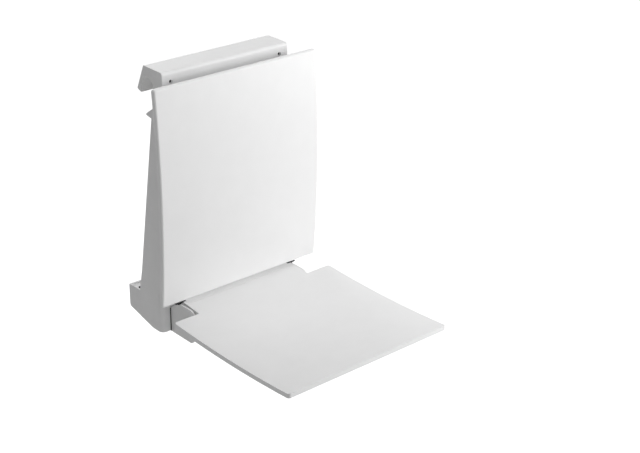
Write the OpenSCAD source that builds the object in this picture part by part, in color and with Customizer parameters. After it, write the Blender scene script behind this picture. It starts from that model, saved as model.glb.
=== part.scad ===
// Hook-in shower seat. A moulded hood hooks over a grab rail, two wedge-shaped
// sides lean their feet on the wall, and a seat folds up against the backrest.
// Origin: middle of the rail axis. +X width, -Y towards the user, +Z up. Millimetres.

/* [Rail and hook] */
// Diameter of the grab rail that the hook takes
rail_d = 33; // [25:0.5:40]
// Radial clearance between the rail and the liner
rail_gap = 0.1; // [0.02:0.01:0.18]
// Length of the hook hood along the rail
hood_len = 270; // [200:1:320]
// Thickness of the soft liner in the hook
liner_t = 2; // [1.5:0.1:3]
// Thickness of the hood above the liner
hood_top_t = 15.4; // [10:0.1:20]
// Thickness of the front leg of the hood
hood_front_t = 25.2; // [20:0.1:27]
// Depth of the front leg below the rail axis
hood_leg = 33.7; // [25:0.1:45]
// Radius of the upper front edge of the hood
hood_edge = 5.5; // [3:0.5:10]

/* [Backrest] */
// Width of the backrest panel
back_w = 350; // [300:1:450]
// Height of the backrest panel
back_h = 402; // [300:1:450]
// Thickness of the backrest panel
back_t = 10; // [8:0.5:14]
// Bulge of the backrest towards the user
back_bulge = 8.8; // [0:0.1:15]
// Corner radius of both panels
panel_r = 5; // [3:0.5:20]
// Distance from the rail axis forward to the ends of the backrest front
back_setback = 76; // [70:1:90]
// Distance from the rail axis down to the lower edge of the backrest
back_drop = 380; // [300:1:420]

/* [Seat] */
// Width of the seat panel
seat_w = 354; // [300:1:450]
// Thickness of the seat panel
seat_t = 8.5; // [7:0.1:12]
// Depth of the seat in front of its rear corners
seat_d = 308; // [260:1:380]
// Gap from the backrest front forward to the rear corners of the seat
seat_rear = 38; // [36:0.5:50]
// Distance from the lower edge of the backrest down to the seat edge
seat_down = 10.3; // [8:0.1:20]
// Sag of the seat surface in the middle
seat_sag = 5.3; // [0:0.1:10]
// Gap between the tongue and each hinge ear
tongue_gap = 2; // [1.5:0.1:6]
// Length of the tongue behind the rear corners
tongue_l = 52.5; // [50:0.5:53]
// Inset of the tongue's narrow end on each side
tail_in = 8; // [4:0.5:12]

/* [Hinge] */
// Forward distance from the backrest front to the hinge axis
hinge_fwd = 21; // [15:0.5:30]
// Distance from the lower edge of the backrest down to the hinge axis
hinge_down = 23; // [18:0.5:40]
// Diameter of the hinge pins
pin_d = 10; // [6:0.5:14]
// Radial running clearance between pin and bush
pin_run = 0.05; // [0.01:0.01:0.1]
// Wall of the flanged hinge bush
bush_t = 1.5; // [1:0.1:3]
// Gap between a hinge ear and the side member beside it
ear_gap = 1.5; // [1:0.1:6]
// Thickness of the hinge bracket plate
ear_t = 4; // [3:0.5:6]
// Radius of the upper front corner of an ear
ear_r = 12; // [10:0.5:20]

/* [Frame] */
// Width over the outer faces of the two sides
frame_w = 300; // [260:1:340]
// Width of one side member
side_w = 18.5; // [15:0.5:30]
// Wall of the hollow side moulding
wall = 4; // [3:0.5:6]
// Distance from the rail axis back to the wall
wall_dist = 67; // [60:1:100]
// Width of the hollow foot at the wall
foot_w = 34; // [30:1:60]
// Height of the hollow foot at the wall
foot_h = 44.5; // [35:0.5:50]
// Radius of the outer front corner of the post below the backrest
post_r = 10; // [4:0.5:14]
// Thickness of the wall pads
pad_t = 3.5; // [2:0.5:8]
// Thickness of the cross beam sheet
beam_t = 3; // [2:0.5:5]
// Gap between pieces that are seated on each other
seat_gap = 0.3; // [0.1:0.05:0.5]

/* [Fasteners] */
// Diameter of the frame screws
screw_d = 6; // [4:0.5:8]
// Head diameter of the frame screws
screw_head_d = 11; // [8:0.5:14]
// Diameter of the screws in the panels
panel_screw_d = 5; // [4:0.5:6]
// Diameter of the locking screws in the hood
lock_d = 5; // [4:0.5:6]
// Diameter of the recess in front of a locking screw
lock_recess_d = 7.5; // [7:0.5:12]
// Depth of the recess in front of a locking screw
lock_recess_l = 2.5; // [1.5:0.5:12]
// Distance of the locking screws and their recesses from the middle
lock_x = 117; // [100:1:125]
// Height of the locking screws above the rail axis
lock_z = 16; // [12:0.5:17]
// Diameter of the screws in the wall pads
pad_screw_d = 4; // [3:0.5:5]

/* [Hidden] */

FINE = 96;
STEPS = 24;
by = -back_setback;
bz = -back_drop;
liner_r = rail_d / 2 + rail_gap;
hood_r = liner_r + liner_t;
front_y = -hood_r - hood_front_t;
top_z = hood_r + hood_top_t;
hinge_y = by - hinge_fwd;
hinge_z = bz - hinge_down;
bush_r = pin_d / 2 + pin_run;
bush_out = bush_r + bush_t;
knuckle_r = 10.2;
knuckle_gap = 0.4;
side_out = frame_w / 2;
side_in = side_out - side_w;
ear_out = side_in - ear_gap;
ear_in = ear_out - ear_t;
arm_out = ear_in - 1.6;
arm_t = 12;
arm_in = arm_out - arm_t;
tongue_w = 2 * (ear_in - tongue_gap);
seat_y0 = by - seat_rear;
seat_y1 = seat_y0 - seat_d;
web_y = by + 38;
ear_top = bz - 10;
ear_low = bz - 76;
ear_y = by - 31;
tail_y = by + 9;
crease_y = by - 1;
crease_w = 0.7;
crease_t = 1.5;
liner_inset = 0.2;
relief_y = by + 10;
relief_z = ear_top - 19;
post_y = by + 40;
post_low = bz - 74;
foot_top = bz - 12.5;
foot_low = foot_top - foot_h;
foot_y0 = by + 88;
foot_y1 = wall_dist - pad_t - seat_gap;
tray_y = by + 107;
tray_h = 2;
drain_r = 2.2;
drain_x = side_out - 8.5;
drain_y = tray_y + 10.5;
foot_mid = side_out - foot_w / 2;
pad_screw_z = [foot_top - 10.5, foot_top - 33.5];
back_screw_z = [bz + 45, bz + 200, bz + 350];
side_mid = side_out - side_w / 2;
arm_mid = (arm_in + arm_out) / 2;
bore_gap = 0.05;
pass_gap = 0.3;
insert_r = 4;
panel_head_r = 4.5;
hood_screw_x = [35, 95];
hood_screw_z = -20;
stop_r = 6.5;
stop_stem_r = 3;
stop_z = bz - 58;
clip_t = 1;
clip_x = arm_in - 2.85;
clip_r = pin_d / 2 - 0.75;

// curved panels: height above the lower edge gives the forward bulge
function bulge(z) = -4 * back_bulge * (z - bz) / back_h * (1 - (z - bz) / back_h);
function back_y(z) = by + bulge(z);
function behind(z) = back_y(z) + back_t;
function sag(y) = -4 * seat_sag * (seat_y0 - y) / seat_d * (1 - (seat_y0 - y) / seat_d);
function seat_z(y) = bz - seat_down + sag(y);
function under(y) = seat_z(y) - seat_t;
function span(a, b, n) = [for (i = [0:n]) a + (b - a) * i / n];

// a shape drawn as [y, z] becomes a solid from x0 to x1
module slab(x0, x1) {
  translate([x0, 0, 0]) rotate([90, 0, 90]) linear_extrude(x1 - x0) children();
}

module both() {
  children();
  mirror([1, 0, 0]) children();
}

module rod(r, x0, x1, y, z) {
  translate([x0, y, z]) rotate([0, 90, 0]) cylinder(r = r, h = x1 - x0, $fn = FINE);
}

// a rod along Y from y0 to y1
module shaft(r, y0, y1, x, z) {
  translate([x, y0, z]) rotate([-90, 0, 0]) cylinder(r = r, h = y1 - y0, $fn = FINE);
}

// a rod along Z from z0 to z1
module post(r, z0, z1, x, y) {
  translate([x, y, z0]) cylinder(r = r, h = z1 - z0, $fn = FINE);
}

module rounded(w, h, r) {
  offset(r = r, $fn = 48) square([w - 2 * r, h - 2 * r], center = true);
}

module back_profile(t0, t1, z0, z1) {
  zs = span(z0, z1, STEPS);
  zr = span(z1, z0, STEPS);
  polygon(concat([for (z = zs) [back_y(z) + t0, z]], [for (z = zr) [back_y(z) + t1, z]]));
}

module backrest_panel() {
  color([0.93, 0.93, 0.92]) difference() {
    intersection() {
      slab(-back_w / 2, back_w / 2) back_profile(0, back_t, bz, bz + back_h);
      translate([0, by + 60, bz + back_h / 2]) rotate([90, 0, 0])
        linear_extrude(120) rounded(back_w, back_h, panel_r);
    }
    for (z = back_screw_z) both() shaft(insert_r, behind(z) - 7, behind(z) + 3, side_mid, z);
  }
}

module backrest_inserts() {
  color([0.78, 0.63, 0.32]) for (z = back_screw_z) both() difference() {
    shaft(insert_r - bore_gap, behind(z) - 6.8, behind(z) - seat_gap, side_mid, z);
    shaft(panel_screw_d / 2 + bore_gap, behind(z) - 7.8, behind(z) + 1, side_mid, z);
  }
}

module panel_screw(y0, x, z) {
  shaft(panel_screw_d / 2, y0 - 6, y0 + wall + 0.6, x, z);
  difference() {
    shaft(panel_head_r, y0 + wall + 0.6, y0 + wall + 4, x, z);
    shaft(1.6, y0 + wall + 2.2, y0 + wall + 5, x, z);
  }
}

module backrest_screws() {
  color([0.72, 0.73, 0.75]) for (z = back_screw_z) both() panel_screw(behind(z), side_mid, z);
}

// the hood in section: outer outline with a round front edge and a sloped rear leg
module hood_outline() {
  offset(r = 2, $fn = 32) offset(delta = -2) union() {
    translate([front_y + hood_edge, top_z - hood_edge]) circle(r = hood_edge, $fn = FINE);
    polygon([[front_y, -hood_leg], [front_y, top_z - hood_edge], [front_y + hood_edge, top_z],
      [10, top_z + 0.6], [29.8, -9.8], [28, -12.2], [hood_r - 1.6, -15.6],
      [0, 6], [-hood_r, -hood_leg]]);
  }
}

module throat(r, low) {
  circle(r = r, $fn = FINE);
  translate([-r, -low]) square([2 * r, low]);
}

module hook_hood() {
  color([0.9, 0.9, 0.89]) difference() {
    slab(-hood_len / 2, hood_len / 2) difference() {
      hood_outline();
      throat(hood_r, 60);
    }
    both() {
      shaft(lock_recess_d / 2, front_y - 1, front_y + lock_recess_l, lock_x, lock_z);
      shaft(lock_d / 2 + bore_gap, front_y + lock_recess_l - 1, 0, lock_x, lock_z);
      for (x = hood_screw_x)
        shaft(screw_d / 2 + bore_gap, front_y - 1, front_y + 15, x, hood_screw_z);
    }
  }
}

module rail_liner() {
  color([0.62, 0.63, 0.64]) slab(liner_inset - hood_len / 2, hood_len / 2 - liner_inset) difference() {
    intersection() {
      throat(hood_r - 0.05, 60);
      translate([-40, -14]) square([80, 60]);
    }
    throat(liner_r, 61);
  }
}

module lock_screws() {
  tip = -sqrt(pow(hood_r, 2) - pow(lock_z - lock_d / 2, 2)) - seat_gap;
  color([0.6, 0.61, 0.63]) both() difference() {
    shaft(lock_d / 2, front_y + lock_recess_l + 0.5, tip, lock_x, lock_z);
    translate([lock_x, front_y + lock_recess_l, lock_z]) rotate([-90, 0, 0])
      cylinder(d = 3.5, h = 3.5, $fn = 6);
  }
}

module frame_screw() {
  cylinder(d = screw_d, h = 13, $fn = FINE);
  translate([0, 0, -4.2]) difference() {
    cylinder(d = screw_head_d, h = 3.9, $fn = FINE);
    translate([0, 0, -1]) cylinder(d = 5, h = 3.4, $fn = 6);
  }
  translate([0, 0, -0.5]) cylinder(d = screw_d, h = 1, $fn = FINE);
}

module hood_screws() {
  color([0.72, 0.73, 0.75]) both() for (x = hood_screw_x)
    translate([x, front_y - seat_gap - beam_t, hood_screw_z]) rotate([-90, 0, 0]) frame_screw();
}

// a pressed beam: web, two flanges and two end plates between the sides
module beam(y0, y1, z0, z1, web_at_back) {
  half = side_in - seat_gap;
  difference() {
    translate([-half, y0, z0]) cube([2 * half, y1 - y0, z1 - z0]);
    translate([beam_t - half, web_at_back ? y0 - 1 : y0 + beam_t, z0 + beam_t])
      cube([2 * (half - beam_t), y1 - y0 - beam_t + 1, z1 - z0 - 2 * beam_t]);
  }
}

TOP_Y = [by + 12.5, front_y - seat_gap];
TOP_Z = [-hood_leg + 1, 7];
MID_Y = [by + 6, by + 28];
MID_Z = [bz + 181, bz + 219];
LOW_Y = [web_y + ear_t + seat_gap, web_y + ear_t + seat_gap + 38];
LOW_Z = [bz - 63, bz - 15];
top_holes = [[by + 22.5, -22], [by + 22.5, -4]];
mid_holes = [[by + 18, bz + 191], [by + 18, bz + 209]];
low_holes = [[by + 58, bz - 48], [by + 58, bz - 28]];
bracket_x = [45, 105];
bracket_z = bz - 38;

module end_holes(holes) {
  for (h = holes) both() rod(screw_d / 2 + pass_gap, side_in - 10, side_in + 5, h[0], h[1]);
}

module top_beam() {
  color([0.75, 0.76, 0.78]) difference() {
    beam(TOP_Y[0], TOP_Y[1], TOP_Z[0], TOP_Z[1], true);
    end_holes(top_holes);
    both() for (x = hood_screw_x)
      shaft(screw_d / 2 + pass_gap, TOP_Y[1] - 10, TOP_Y[1] + 1, x, hood_screw_z);
  }
}

module mid_beam() {
  color([0.75, 0.76, 0.78]) difference() {
    beam(MID_Y[0], MID_Y[1], MID_Z[0], MID_Z[1], false);
    end_holes(mid_holes);
  }
}

module lower_beam() {
  color([0.75, 0.76, 0.78]) difference() {
    beam(LOW_Y[0], LOW_Y[1], LOW_Z[0], LOW_Z[1], false);
    end_holes(low_holes);
    both() for (x = bracket_x)
      shaft(screw_d / 2 + bore_gap, LOW_Y[0] - 1, LOW_Y[0] + 9, x, bracket_z);
  }
}

module beam_screws() {
  color([0.72, 0.73, 0.75]) for (h = concat(top_holes, mid_holes, low_holes)) both()
    translate([side_in - seat_gap - beam_t, h[0], h[1]]) rotate([0, 90, 0]) frame_screw();
}

// outline of a side: curved front behind the panel, straight back, nose below the hook
module side_outline() {
  zs = span(bz + 3, 8, STEPS);
  polygon(concat([for (z = zs) [behind(z) + seat_gap, z]],
    [[front_y - seat_gap, 8], [front_y - seat_gap, -hood_leg - seat_gap], [by + 52, -34],
      [by + 60.4, -40.4], [by + 61.2, -42], [by + 60, -43.2], [by + 46, -46],
      [by + 96, bz + 33], [by + 106, foot_top], [by + 106, foot_low - 8.3],
      [by + 68, post_low], [post_y, post_low], [post_y, bz + 3]]));
}

// the cheek beside the hood runs down into the nose
module cheek_outline() {
  polygon([[front_y - seat_gap - 2, 8], [front_y + 3, 6], [front_y + 7, -25.5],
    [by + 60.4, -40.4], [by + 50, -43.5], [front_y - seat_gap - 2, -43]]);
}

module foot_outline() {
  polygon([[foot_y0, foot_top], [foot_y1, foot_top], [foot_y1, foot_low], [foot_y0, foot_low - 12]]);
}

// the outer front corner of the post is round below the backrest
module side_raw() {
  difference() {
    union() {
      slab(side_in, side_out) side_outline();
      slab(side_out - foot_w, side_out) foot_outline();
      slab(hood_len / 2 + seat_gap, side_out) cheek_outline();
    }
    translate([0, 0, bz - 80]) linear_extrude(83) difference() {
      translate([side_out - post_r, post_y - 1]) square([post_r + 1, post_r + 1]);
      translate([side_out - post_r, post_y + post_r]) circle(r = post_r, $fn = FINE);
    }
  }
}

module side() {
  difference() {
    union() {
      difference() {
        side_raw();
        slab(side_in - 1, side_out - wall) offset(delta = -wall) difference() {
          side_outline();
          translate([post_y - 1, post_low - 1]) square([post_r + 1, bz - post_low + 4]);
        }
        slab(side_out - foot_w - 1, side_out - wall) difference() {
          offset(delta = -wall) foot_outline();
          translate([foot_y0, foot_top - tray_h - wall]) square([foot_y1 - foot_y0, tray_h + wall]);
        }
        slab(side_out - foot_w + wall, side_out - wall)
          translate([tray_y, foot_top - tray_h]) square([foot_y1 - wall - tray_y, tray_h + 1]);
        post(drain_r, foot_top - tray_h - wall - 1, foot_top, drain_x, drain_y);
      }
      for (h = concat(top_holes, mid_holes, low_holes)) rod(7, side_in, side_out - 1, h[0], h[1]);
    }
    for (h = concat(top_holes, mid_holes, low_holes))
      rod(screw_d / 2 + bore_gap, side_in - 1, side_in + 13, h[0], h[1]);
    for (z = back_screw_z)
      shaft(panel_screw_d / 2 + pass_gap, behind(z) - 1, behind(z) + 9, side_mid, z);
    for (z = pad_screw_z) shaft(pad_screw_d / 2 + bore_gap, foot_y1 - 6, foot_y1 + 1, foot_mid, z);
  }
}

module side_left() {
  color([0.88, 0.88, 0.87]) mirror([1, 0, 0]) side();
}

module side_right() {
  color([0.88, 0.88, 0.87]) side();
}

module pad() {
  difference() {
    translate([side_out - foot_w + 1.5, foot_y1 + seat_gap, foot_low + 1.5])
      cube([foot_w - 3, pad_t, foot_h - 3]);
    for (z = pad_screw_z) {
      shaft(pad_screw_d / 2 + pass_gap, foot_y1 - 1, wall_dist + 1, foot_mid, z);
      shaft(pad_screw_d + pass_gap, wall_dist - 2, wall_dist + 1, foot_mid, z);
    }
  }
}

module wall_pad_left() {
  color([0.6, 0.61, 0.62]) mirror([1, 0, 0]) pad();
}

module wall_pad_right() {
  color([0.6, 0.61, 0.62]) pad();
}

module pad_screws() {
  color([0.72, 0.73, 0.75]) both() for (z = pad_screw_z) {
    shaft(pad_screw_d / 2, foot_y1 - 5.5, wall_dist - 2, foot_mid, z);
    shaft(pad_screw_d - 0.1, wall_dist - 2, wall_dist - 0.8, foot_mid, z);
  }
}

// one ear of the bracket in section, its top sloping down behind the backrest
module ear_outline() {
  difference() {
    hull() {
      translate([web_y, ear_low]) square([ear_t, ear_top - ear_low]);
      translate([ear_y + ear_r, ear_top - ear_r]) circle(r = ear_r, $fn = 64);
      translate([ear_y + ear_r + 3, ear_low + ear_r]) circle(r = ear_r, $fn = 64);
    }
    polygon([[relief_y, ear_top], [web_y + ear_t + 1, relief_z], [web_y + ear_t + 1, ear_top + 1],
      [relief_y, ear_top + 1]]);
  }
}

module hinge_bracket() {
  color([0.86, 0.86, 0.85]) difference() {
    union() {
      both() slab(ear_in, ear_out) ear_outline();
      translate([-ear_out, web_y, ear_low]) cube([2 * ear_out, ear_t, relief_z - ear_low]);
    }
    both() {
      rod(pin_d / 2 + 0.02, ear_in - 1, ear_out + 1, hinge_y, hinge_z);
      for (x = bracket_x) shaft(screw_d / 2 + pass_gap, web_y - 1, web_y + 9, x, bracket_z);
      shaft(stop_stem_r + bore_gap, web_y - 1, web_y + 9, arm_mid, stop_z);
    }
  }
}

module bracket_screws() {
  color([0.72, 0.73, 0.75]) both() for (x = bracket_x)
    translate([x, web_y, bracket_z]) rotate([-90, 0, 0]) frame_screw();
}

module hinge_pin() {
  difference() {
    rod(pin_d / 2, arm_in - 4, ear_out - 0.2, hinge_y, hinge_z);
    difference() {
      rod(pin_d / 2 + 1, clip_x - 0.05, clip_x + clip_t + 0.05, hinge_y, hinge_z);
      rod(clip_r - 0.05, clip_x - 1, clip_x + clip_t + 1, hinge_y, hinge_z);
    }
  }
}

module hinge_pin_left() {
  color([0.8, 0.81, 0.83]) mirror([1, 0, 0]) hinge_pin();
}

module hinge_pin_right() {
  color([0.8, 0.81, 0.83]) hinge_pin();
}

module pin_circlips() {
  color([0.35, 0.36, 0.38]) both() difference() {
    rod(pin_d / 2 + 2, clip_x, clip_x + clip_t, hinge_y, hinge_z);
    rod(clip_r, clip_x - 1, clip_x + clip_t + 1, hinge_y, hinge_z);
    translate([clip_x - 1, hinge_y - 2, hinge_z - 20]) cube([clip_t + 2, 4, 20]);
  }
}

module stop_buffers() {
  color([0.3, 0.3, 0.31]) both() {
    shaft(stop_r, web_y - 6.5, web_y - 0.2, arm_mid, stop_z);
    shaft(stop_stem_r, web_y - 0.5, web_y + ear_t - 0.2, arm_mid, stop_z);
  }
}

module seat_plan() {
  tail = tongue_w / 2 - tail_in;
  offset(r = -2, $fn = 32) offset(r = 2) union() {
    translate([0, (seat_y0 + seat_y1) / 2]) rounded(seat_w, seat_d, panel_r);
    translate([-tongue_w / 2, seat_y0 - 20]) square([tongue_w, tail_y - seat_y0 + 20]);
    translate([-tail, seat_y0]) square([2 * tail, tongue_l]);
  }
}

module seat_section(t0, t1, y0, y1) {
  ys = span(y0, y1, STEPS);
  yr = span(y1, y0, STEPS);
  polygon(concat([for (y = ys) [y, seat_z(y) - t0]], [for (y = yr) [y, seat_z(y) - t1]]));
}

seat_screw_at = [[60, seat_y0 - 40], [60, seat_y0 - 130], [60, seat_y0 - 220]];

module seat_panel() {
  color([0.93, 0.93, 0.92]) difference() {
    intersection() {
      slab(-seat_w / 2, seat_w / 2) seat_section(0, seat_t, seat_y1, seat_y0 + tongue_l);
      translate([0, 0, bz - 100]) linear_extrude(200) seat_plan();
    }
    slab(-seat_w, seat_w) translate([crease_y, seat_z(crease_y) - crease_t])
      square([crease_w, crease_t + 5]);
    both() rod(knuckle_r + knuckle_gap, arm_in - 5, seat_w, hinge_y, hinge_z);
    for (p = seat_screw_at) both() post(insert_r, under(p[1]) - 3, under(p[1]) + 6.5, p[0], p[1]);
  }
}

module seat_inserts() {
  color([0.78, 0.63, 0.32]) for (p = seat_screw_at) both() difference() {
    post(insert_r - bore_gap, under(p[1]) + 0.4, under(p[1]) + 6.3, p[0], p[1]);
    post(panel_screw_d / 2 + bore_gap, under(p[1]) - 1, under(p[1]) + 7, p[0], p[1]);
  }
}

// one arm of the carrier in section: knuckle, long tapered arm and stop heel
module arm_outline() {
  ys = span(seat_y1 + 40, by + 8, STEPS);
  union() {
    polygon(concat([for (y = ys) [y, under(y) - seat_gap]],
      [[by + 20, bz - 34], [web_y - 6.8, bz - 48], [web_y - 6.8, bz - 66],
        [web_y - 22, bz - 66], [by - 14, bz - 52], [seat_y1 + 44, bz - 34]]));
    translate([hinge_y, hinge_z]) circle(r = knuckle_r, $fn = FINE);
  }
}

module carrier_sheet() {
  ys = span(seat_y1 + 70, seat_y0 - 22, STEPS);
  yr = span(seat_y0 - 22, seat_y1 + 70, STEPS);
  polygon(concat([for (y = ys) [y, under(y) - seat_gap]], [for (y = yr) [y, under(y) - seat_gap - 3]]));
}

module seat_carrier() {
  color([0.8, 0.81, 0.82]) difference() {
    union() {
      both() slab(arm_in, arm_out) arm_outline();
      slab(-arm_in - 0.5, arm_in + 0.5) carrier_sheet();
    }
    both() rod(bush_out + 0.02, arm_in - 1, arm_out + 1, hinge_y, hinge_z);
    for (p = seat_screw_at) both()
      post(panel_screw_d / 2 + pass_gap, under(p[1]) - 8, under(p[1]) + 3, p[0], p[1]);
  }
}

module seat_screws() {
  color([0.72, 0.73, 0.75]) for (p = seat_screw_at) both() {
    post(panel_screw_d / 2, under(p[1]) - 4, under(p[1]) + 5.4, p[0], p[1]);
    post(panel_head_r, under(p[1]) - 6.8, under(p[1]) - 3.9, p[0], p[1]);
  }
}

module bush() {
  difference() {
    union() {
      rod(bush_out, arm_in, ear_in - 0.35, hinge_y, hinge_z);
      rod(bush_out + 2.5, arm_out + 0.1, ear_in - 0.35, hinge_y, hinge_z);
    }
    rod(bush_r, arm_in - 1, ear_in + 1, hinge_y, hinge_z);
  }
}

module bush_left() {
  color([0.85, 0.83, 0.75]) mirror([1, 0, 0]) bush();
}

module bush_right() {
  color([0.85, 0.83, 0.75]) bush();
}

backrest_panel();
backrest_inserts();
backrest_screws();
hook_hood();
rail_liner();
lock_screws();
hood_screws();
top_beam();
mid_beam();
lower_beam();
beam_screws();
side_left();
side_right();
wall_pad_left();
wall_pad_right();
pad_screws();
hinge_bracket();
bracket_screws();
hinge_pin_left();
hinge_pin_right();
pin_circlips();
stop_buffers();
seat_panel();
seat_inserts();
seat_carrier();
seat_screws();
bush_left();
bush_right();
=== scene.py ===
"""Hook-in shower seat: pieces, materials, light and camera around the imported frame."""

from math import cos, pi, radians, sin

import bmesh
import bpy
from mathutils import Matrix, Vector

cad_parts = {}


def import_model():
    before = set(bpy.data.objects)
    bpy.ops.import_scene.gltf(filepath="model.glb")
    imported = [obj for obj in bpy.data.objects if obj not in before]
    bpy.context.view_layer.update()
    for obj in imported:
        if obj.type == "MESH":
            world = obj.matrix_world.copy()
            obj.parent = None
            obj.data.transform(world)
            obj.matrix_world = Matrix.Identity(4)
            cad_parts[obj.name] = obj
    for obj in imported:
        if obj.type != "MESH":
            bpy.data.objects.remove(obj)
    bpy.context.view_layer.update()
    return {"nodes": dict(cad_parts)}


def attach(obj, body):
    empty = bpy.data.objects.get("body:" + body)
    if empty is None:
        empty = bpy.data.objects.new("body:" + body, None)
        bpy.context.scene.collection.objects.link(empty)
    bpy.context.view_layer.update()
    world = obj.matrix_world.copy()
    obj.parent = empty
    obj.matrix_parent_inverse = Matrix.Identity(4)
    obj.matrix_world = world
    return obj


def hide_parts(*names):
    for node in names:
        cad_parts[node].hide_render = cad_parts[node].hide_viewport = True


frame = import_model()
NODES = frame["nodes"]
MM = 0.001
WHITE = (1, 1, 1, 1)

# Image width and the camera that the photograph was taken with, in the row frame
IMAGE_W = 640
FOCAL_PX = 1437.7
SENSOR_MM = 36.0
CLIP_NEAR, CLIP_FAR = 0.05, 60.0
CAM_AT = (-1.42504, -1.92106, 0.80111)
YAW, PITCH, ROLL = radians(41.156), radians(24.744), radians(0.549)

# Materials

# How far the roughness drifts to either side of its middle value
ROUGH_SPREAD = 0.05
# Size in metres of the patches in which the tint drifts, and the roughness in finer ones
TINT_PATCH = 0.03
ROUGH_PATCH = 0.012
# Size in metres of the slow waves of a moulded face
WAVE = 0.02
# Most of a noise's values lie between these two
NOISE_LOW, NOISE_HIGH = 0.3, 0.7
NOISE_ROUGH = 0.55


def socket(node, name, value):
    node.inputs[name].default_value = value


def colours(sockets):
    """The colour sockets of a mix node, which share their names with its float ones."""
    return [s for s in sockets if s.type == "RGBA"]


def material(name, base, rough, metallic=0.0, tint=0.008, grain=0.0006, grain_depth=0.00001,
             wave_depth=0.00004, specular=0.5):
    """Principled material: noise drives a faint tint, the roughness and two scales of bump."""
    m = bpy.data.materials.new(name)
    m.use_nodes = True
    nt = m.node_tree
    bsdf = nt.nodes["Principled BSDF"]
    socket(bsdf, "Metallic", metallic)
    socket(bsdf, "Specular IOR Level", specular)
    place = nt.nodes.new("ShaderNodeTexCoord").outputs["Object"]

    def noise(size, detail):
        n = nt.nodes.new("ShaderNodeTexNoise")
        socket(n, "Scale", 1.0 / size)
        socket(n, "Detail", detail)
        socket(n, "Roughness", NOISE_ROUGH)
        nt.links.new(place, n.inputs["Vector"])
        return n.outputs["Fac"]

    def spread(fac, low, high):
        r = nt.nodes.new("ShaderNodeMapRange")
        socket(r, "From Min", NOISE_LOW)
        socket(r, "From Max", NOISE_HIGH)
        socket(r, "To Min", low)
        socket(r, "To Max", high)
        nt.links.new(fac, r.inputs["Value"])
        return r.outputs["Result"]

    def bump(height, depth):
        b = nt.nodes.new("ShaderNodeBump")
        socket(b, "Strength", 1.0)
        socket(b, "Distance", depth)
        nt.links.new(height, b.inputs["Height"])
        return b

    mix = nt.nodes.new("ShaderNodeMix")
    mix.data_type = "RGBA"
    darker, paler = colours(mix.inputs)
    darker.default_value = (*[c * (1 - tint) for c in base], 1)
    paler.default_value = (*[min(1.0, c * (1 + tint)) for c in base], 1)
    nt.links.new(spread(noise(TINT_PATCH, 3.0), 0.0, 1.0), mix.inputs["Factor"])
    nt.links.new(colours(mix.outputs)[0], bsdf.inputs["Base Color"])

    drift = spread(noise(ROUGH_PATCH, 4.0), rough - ROUGH_SPREAD, rough + ROUGH_SPREAD)
    nt.links.new(drift, bsdf.inputs["Roughness"])

    slow = bump(noise(WAVE, 1.0), wave_depth)
    quick = bump(noise(grain, 2.0), grain_depth)
    nt.links.new(slow.outputs["Normal"], quick.inputs["Normal"])
    nt.links.new(quick.outputs["Normal"], bsdf.inputs["Normal"])
    return m


PANEL = material("panel_white_satin", (0.83, 0.83, 0.83), 0.42)
FRAME = material("frame_white_satin", (0.822, 0.822, 0.822), 0.46, tint=0.02)
BEAM = material("beam_white_coat", (0.74, 0.745, 0.75), 0.38, grain=0.0016, grain_depth=0.00003)
CAST = material("carrier_coated_cast", (0.66, 0.665, 0.67), 0.45, grain=0.0012, grain_depth=0.00004)
LINER = material("liner_soft_light", (0.9, 0.9, 0.895), 0.62, grain=0.0009, grain_depth=0.00004)
PAD = material("pad_soft_grey", (0.60, 0.605, 0.61), 0.68, grain=0.0009, grain_depth=0.00005)
# Black rubber of the stop buffers; the same black on the small pieces further down paints shade
# into dark gaps and drain holes
RUBBER_AND_PAINTED_SHADE = material("black_rubber_and_painted_shade", (0.03, 0.03, 0.032), 0.62, tint=0.12, specular=0.25)
OXIDE = material("screw_black_oxide", (0.025, 0.025, 0.028), 0.42, tint=0.15, specular=0.3)
NYLON = material("bush_nylon", (0.74, 0.71, 0.62), 0.4, tint=0.04)
CLIP = material("clip_spring_steel", (0.28, 0.285, 0.3), 0.34, metallic=1.0, tint=0.08)
SCREW = material("screw_stainless", (0.60, 0.605, 0.615), 0.28, metallic=1.0, tint=0.05,
                 grain=0.0008, grain_depth=0.000006, wave_depth=0.00001)
BRASS = material("insert_brass", (0.62, 0.44, 0.19), 0.3, metallic=1.0, tint=0.06)

# Pieces that stand for CAD nodes

# Points closer than this, in metres, become one
SAME_POINT = 0.000002
# Neighbouring faces within this angle, in degrees, become one flat face
FLAT_ANGLE = 0.05
# An edge turns sharply past this angle, in degrees
SHARP_ANGLE = 30.0
# Outer edges are rounded where their run spans more than this, in mm
LEAST_RUN = 14.0


def link(name, data):
    ob = bpy.data.objects.new(name, data)
    bpy.context.scene.collection.objects.link(ob)
    return ob


def bake_modifiers(ob):
    """The mesh as its modifiers leave it, with none left on the piece."""
    dg = bpy.context.evaluated_depsgraph_get()
    done = bpy.data.meshes.new_from_object(ob.evaluated_get(dg), preserve_all_data_layers=True,
                                           depsgraph=dg)
    old = ob.data
    ob.modifiers.clear()
    ob.data = done
    bpy.data.meshes.remove(old)


def chains(edges):
    """Groups of edges that hang together."""
    left = set(edges)
    while left:
        group, todo = [], [left.pop()]
        while todo:
            e = todo.pop()
            group.append(e)
            for v in e.verts:
                for other in v.link_edges:
                    if other in left:
                        left.discard(other)
                        todo.append(other)
        yield group


def span(edges):
    """The longest side of the box around some edges."""
    spots = [v.co for e in edges for v in e.verts]
    return max(max(c[i] for c in spots) - min(c[i] for c in spots) for i in range(3))


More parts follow.
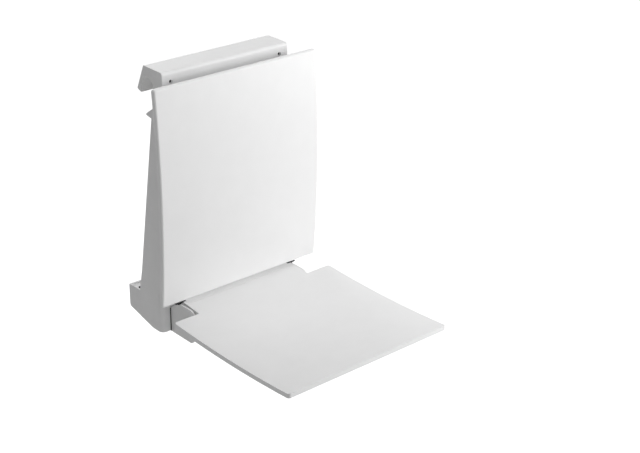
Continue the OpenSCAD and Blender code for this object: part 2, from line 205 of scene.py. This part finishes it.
def clean_copy(node, name):
    """A copy of a CAD node's mesh: flat faces joined, outer edges marked for rounding."""
    mesh = NODES[node].data.copy()
    for layer in [a.name for a in mesh.attributes if a.name == "custom_normal"]:
        mesh.attributes.remove(mesh.attributes[layer])
    ob = link(name, mesh)
    bm = bmesh.new()
    bm.from_mesh(mesh)
    bmesh.ops.remove_doubles(bm, verts=bm.verts, dist=SAME_POINT)
    bmesh.ops.dissolve_limit(bm, angle_limit=radians(FLAT_ANGLE), verts=bm.verts, edges=bm.edges)
    for f in bm.faces:
        f.smooth = True
    weight = bm.edges.layers.float.new("bevel_weight_edge")
    sharp = [e for e in bm.edges
             if len(e.link_faces) == 2 and e.calc_face_angle() > radians(SHARP_ANGLE)]
    for e in sharp:
        e.smooth = False
    for group in chains([e for e in sharp if e.is_convex]):
        if span(group) > LEAST_RUN * MM:
            for e in group:
                e[weight] = 1.0
                e.smooth = True
    bm.to_mesh(mesh)
    bm.free()
    return ob


def soften(node, body, mat, width, segments):
    """Stands for a CAD node: the same form with its edges rounded and its faces shaded true."""
    ob = clean_copy(node, node + "_look")
    bevel = ob.modifiers.new("edge", "BEVEL")
    bevel.limit_method = "WEIGHT"
    bevel.width = width * MM
    bevel.segments = segments
    bevel.miter_outer = "MITER_ARC"
    weigh = ob.modifiers.new("normals", "WEIGHTED_NORMAL")
    weigh.keep_sharp = True
    bake_modifiers(ob)
    ob.data.materials.clear()
    ob.data.materials.append(mat)
    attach(ob, body)
    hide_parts(node)


def keep(node, mat):
    """A CAD node shown as it is, in its own material."""
    ob = NODES[node]
    ob.data.materials.clear()
    ob.data.materials.append(mat)


soften("backrest_panel", "frame", PANEL, width=4.6, segments=6)
soften("seat_panel", "seat", PANEL, width=2.6, segments=4)
for node in ("hook_hood", "side_left", "side_right", "hinge_bracket"):
    soften(node, "frame", FRAME, width=1.2, segments=3)
for node in ("top_beam", "mid_beam", "lower_beam"):
    soften(node, "frame", BEAM, width=0.6, segments=2)
soften("seat_carrier", "seat", CAST, width=1.0, segments=3)
soften("rail_liner", "frame", LINER, width=0.5, segments=2)
for node in ("wall_pad_left", "wall_pad_right"):
    soften(node, "frame", PAD, width=1.0, segments=3)
soften("stop_buffers", "frame", RUBBER_AND_PAINTED_SHADE, width=0.8, segments=3)

for node in ("bush_left", "bush_right"):
    keep(node, NYLON)
for node in ("hinge_pin_left", "hinge_pin_right"):
    keep(node, FRAME)
keep("pin_circlips", CLIP)
for node in ("backrest_screws", "seat_screws", "hood_screws", "beam_screws", "bracket_screws",
             "pad_screws"):
    keep(node, SCREW)
keep("lock_screws", OXIDE)
for node in ("backrest_inserts", "seat_inserts"):
    keep(node, BRASS)

# Small black pieces that paint shade into dark gaps and drain holes, in mm, placed from the CAD
# nodes that they sit against


def box(node):
    """The lowest and the highest corner of a CAD node, in mm to a tenth."""
    spots = [v.co / MM for v in NODES[node].data.vertices]
    return [[round(end(c[i] for c in spots), 1) for i in range(3)] for end in (min, max)]


# Each outline of (y, z) starts from the backrest's lower rear edge
BACK_LOW, BACK_HIGH = box("backrest_panel")
EDGE_Y, EDGE_Z = BACK_HIGH[1], BACK_LOW[2]
# Each reach along x starts from the outer face of an ear
EAR_X = box("hinge_bracket")[1][0]
# Flat black bar on top of each ear, painted shade for the dark gap under the backrest's lower edge
GAP_SHADE_BAR = ((2.5, -9.4), (7, -9.8), (7, -7.6), (2.5, -7.2))
GAP_SHADE_BAR_REACH = (-13, 7)
# Black clip that holds the bar, painted shade in the same gap
GAP_SHADE_CLIP = ((2.7, -11.5), (6.8, -14), (6.8, -9), (2.7, -9))
GAP_SHADE_CLIP_REACH = (-4.8, 0.8)
BAR_ROUND = 0.4
# Upright black strip in the gap between each ear and its post, painted shade for that gap
POST_GAP_SHADE = ((28.7, -74), (33, -74), (33, -31), (28.7, -27.5))
POST_GAP_SHADE_REACH = (0.3, 1.4)
POST_GAP_SHADE_ROUND = 0.25
# Drain hole of each foot, from the side member's outer, rear and lower faces
SIDE_LOW, SIDE_HIGH = box("side_right")
DRAIN_X, DRAIN_Y, DRAIN_Z = SIDE_HIGH[0] - 8.5, SIDE_HIGH[1] - 21.7, SIDE_LOW[2] + 59.5
# Black ring in the hole, painted shade for the hole: its own hole, its rim, the step down to the
# sleeve and the sleeve
HOLE_R, RIM_R, RIM_H = 0.6, 3.2, 2.0
RIM_STEP, SLEEVE = 0.2, 2.0
# Points over the rim's half circle, and steps around the ring
RIM_ROWS, RIM_TURNS = 9, 32


def finish_trim(bm, name, width):
    """A small black piece on the frame that paints shade, its edges rounded by width."""
    bmesh.ops.recalc_face_normals(bm, faces=bm.faces)
    mesh = bpy.data.meshes.new(name)
    bm.to_mesh(mesh)
    bm.free()
    ob = link(name, mesh)
    if width:
        bevel = ob.modifiers.new("edge", "BEVEL")
        bevel.width = width * MM
        bevel.segments = 3
        bake_modifiers(ob)
    for f in ob.data.polygons:
        f.use_smooth = True
    ob.data.materials.append(RUBBER_AND_PAINTED_SHADE)
    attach(ob, "frame")


def strip(name, outline, reach, way, width):
    """An outline drawn out along x over its reach, on the side that way (-1 or 1) gives."""
    bm = bmesh.new()
    x0, x1 = [(EAR_X + x) * way for x in reach]
    near = [bm.verts.new((x0 * MM, (EDGE_Y + y) * MM, (EDGE_Z + z) * MM)) for y, z in outline]
    far = [bm.verts.new((x1 * MM, v.co.y, v.co.z)) for v in near]
    bm.faces.new(near)
    bm.faces.new(far[::-1])
    for i in range(len(outline)):
        j = (i + 1) % len(outline)
        bm.faces.new((near[j], near[i], far[i], far[j]))
    finish_trim(bm, name, width)


def rim_section():
    """The section of the drain hole's painted-shade ring as (r, z): a half-round rim, then the
    sleeve below it.
    """
    middle, half = (HOLE_R + RIM_R) / 2, (RIM_R - HOLE_R) / 2
    steps = [pi * i / (RIM_ROWS - 1) for i in range(RIM_ROWS)]
    top = [(middle - half * cos(t), RIM_H * sin(t)) for t in steps]
    return top + [(RIM_R, -RIM_STEP), (HOLE_R, -SLEEVE)]


def hole_shade_ring(name, way):
    """A black ring in a drain hole, painted shade for the hole, turned from its section."""
    bm = bmesh.new()
    rings = []
    for k in range(RIM_TURNS):
        a = 2 * pi * k / RIM_TURNS
        rings.append([bm.verts.new(((r * cos(a) + DRAIN_X * way) * MM,
                                    (r * sin(a) + DRAIN_Y) * MM, (z + DRAIN_Z) * MM))
                      for r, z in rim_section()])
    for k, here in enumerate(rings):
        there = rings[(k + 1) % RIM_TURNS]
        for i in range(len(here)):
            j = (i + 1) % len(here)
            bm.faces.new((here[i], here[j], there[j], there[i]))
    finish_trim(bm, name, 0)


# Each side gets painted shade pieces in the gap over the ear, in the gap beside the post and in the
# drain hole
for tag, way in (("left", -1), ("right", 1)):
    strip("ear_gap_shade_bar_" + tag, GAP_SHADE_BAR, GAP_SHADE_BAR_REACH, way, BAR_ROUND)
    strip("ear_gap_shade_clip_" + tag, GAP_SHADE_CLIP, GAP_SHADE_CLIP_REACH, way, BAR_ROUND)
    strip("post_gap_shade_" + tag, POST_GAP_SHADE, POST_GAP_SHADE_REACH, way, POST_GAP_SHADE_ROUND)
    hole_shade_ring("drain_hole_shade_ring_" + tag, way)

# Floor, surround, lamps and camera, in metres

# The rail's usual height above the floor
RAIL_H = 0.85
FLOOR_R = 14.0
FLOOR_GREY = (0.62, 0.62, 0.62, 1)
# Where it is seen the floor glows, least under the seat, so that it ends in white
LIFT_NEAR, LIFT_FAR = 0.75, 0.97
NEAR, FAR = 0.3, 3.5
LAMPS_AIM = (0.0, -0.1, -0.2)


def any_ray(nt, *kinds):
    """An output that is 1 for rays of the given kinds and 0 for all others."""
    path = nt.nodes.new("ShaderNodeLightPath")
    found = path.outputs[kinds[0]]
    for kind in kinds[1:]:
        either = nt.nodes.new("ShaderNodeMath")
        either.operation = "MAXIMUM"
        nt.links.new(found, either.inputs[0])
        nt.links.new(path.outputs[kind], either.inputs[1])
        found = either.outputs[0]
    return found


def floor_material():
    m = bpy.data.materials.new("floor_pale")
    m.use_nodes = True
    nt = m.node_tree
    nt.nodes.clear()
    out = nt.nodes.new("ShaderNodeOutputMaterial")
    matte = nt.nodes.new("ShaderNodeBsdfDiffuse")
    socket(matte, "Color", FLOOR_GREY)
    glow = nt.nodes.new("ShaderNodeEmission")
    socket(glow, "Color", WHITE)
    place = nt.nodes.new("ShaderNodeTexCoord")
    away = nt.nodes.new("ShaderNodeVectorMath")
    away.operation = "LENGTH"
    nt.links.new(place.outputs["Object"], away.inputs[0])
    rise = nt.nodes.new("ShaderNodeMapRange")
    socket(rise, "From Min", NEAR)
    socket(rise, "From Max", FAR)
    socket(rise, "To Min", LIFT_NEAR)
    socket(rise, "To Max", LIFT_FAR)
    nt.links.new(away.outputs["Value"], rise.inputs["Value"])
    lift = nt.nodes.new("ShaderNodeMath")
    lift.operation = "MULTIPLY"
    nt.links.new(any_ray(nt, "Is Camera Ray", "Is Glossy Ray"), lift.inputs[0])
    nt.links.new(rise.outputs["Result"], lift.inputs[1])
    nt.links.new(lift.outputs[0], glow.inputs["Strength"])
    both = nt.nodes.new("ShaderNodeAddShader")
    nt.links.new(matte.outputs[0], both.inputs[0])
    nt.links.new(glow.outputs[0], both.inputs[1])
    nt.links.new(both.outputs[0], out.inputs["Surface"])
    return m


def floor():
    bm = bmesh.new()
    bmesh.ops.create_circle(bm, cap_ends=True, cap_tris=False, segments=96, radius=FLOOR_R)
    mesh = bpy.data.meshes.new("floor")
    bm.to_mesh(mesh)
    bm.free()
    ob = link("floor", mesh)
    ob.location = (0, 0, -RAIL_H)
    mesh.materials.append(floor_material())


def world(level):
    """A surround that is white where it is seen or mirrored, and dim where it gives light."""
    w = bpy.data.worlds.new("studio")
    bpy.context.scene.world = w
    w.use_nodes = True
    nt = w.node_tree
    nt.nodes.clear()
    out = nt.nodes.new("ShaderNodeOutputWorld")
    lit = nt.nodes.new("ShaderNodeBackground")
    socket(lit, "Color", WHITE)
    socket(lit, "Strength", level)
    seen = nt.nodes.new("ShaderNodeBackground")
    socket(seen, "Color", WHITE)
    socket(seen, "Strength", 1.0)
    pick = nt.nodes.new("ShaderNodeMixShader")
    clear = any_ray(nt, "Is Camera Ray", "Is Glossy Ray", "Is Transmission Ray")
    nt.links.new(clear, pick.inputs["Fac"])
    nt.links.new(lit.outputs[0], pick.inputs[1])
    nt.links.new(seen.outputs[0], pick.inputs[2])
    nt.links.new(pick.outputs[0], out.inputs["Surface"])


def lamp(name, at, size, power):
    """A square soft box of a size in metres and a power in watts, turned to the seat."""
    data = bpy.data.lights.new(name, "AREA")
    data.shape = "SQUARE"
    data.size = size
    data.energy = power
    ob = link(name, data)
    ob.location = at
    ob.rotation_mode = "QUATERNION"
    ob.rotation_quaternion = (Vector(LAMPS_AIM) - Vector(at)).to_track_quat("-Z", "Y")


def camera():
    """The photograph's camera, looking ahead by its yaw and pitch and tipped by its roll."""
    data = bpy.data.cameras.new("camera")
    data.sensor_width = SENSOR_MM
    data.lens = FOCAL_PX * SENSOR_MM / IMAGE_W
    data.clip_start, data.clip_end = CLIP_NEAR, CLIP_FAR
    ob = link("camera", data)
    ahead = Vector((sin(YAW) * cos(PITCH), cos(YAW) * cos(PITCH), -sin(PITCH)))
    level = Vector((cos(YAW), -sin(YAW), 0.0))
    above = level.cross(ahead)
    right = cos(ROLL) * level + sin(ROLL) * above
    up = -sin(ROLL) * level + cos(ROLL) * above
    turn = Matrix((right, up, -ahead)).transposed()
    ob.matrix_world = Matrix.Translation(CAM_AT) @ turn.to_4x4()
    bpy.context.scene.camera = ob


floor()
world(0.15)
lamp("side_box", (1.15, -1.15, 0.1), size=1.0, power=22.0)
lamp("front_box", (-1.5, -2.2, 0.6), size=1.2, power=8.0)
lamp("top_box", (0.3, -0.1, 1.8), size=1.2, power=12.2)
lamp("right_box", (1.45, -0.15, 1.15), size=1.0, power=2.0)
lamp("back_fill", (-1.3, 0.5, 1.2), size=0.8, power=3.0)
lamp("rear_box", (0.3, 1.7, 0.9), size=1.0, power=12.0)
camera()
bpy.context.scene.view_settings.view_transform = "Standard"
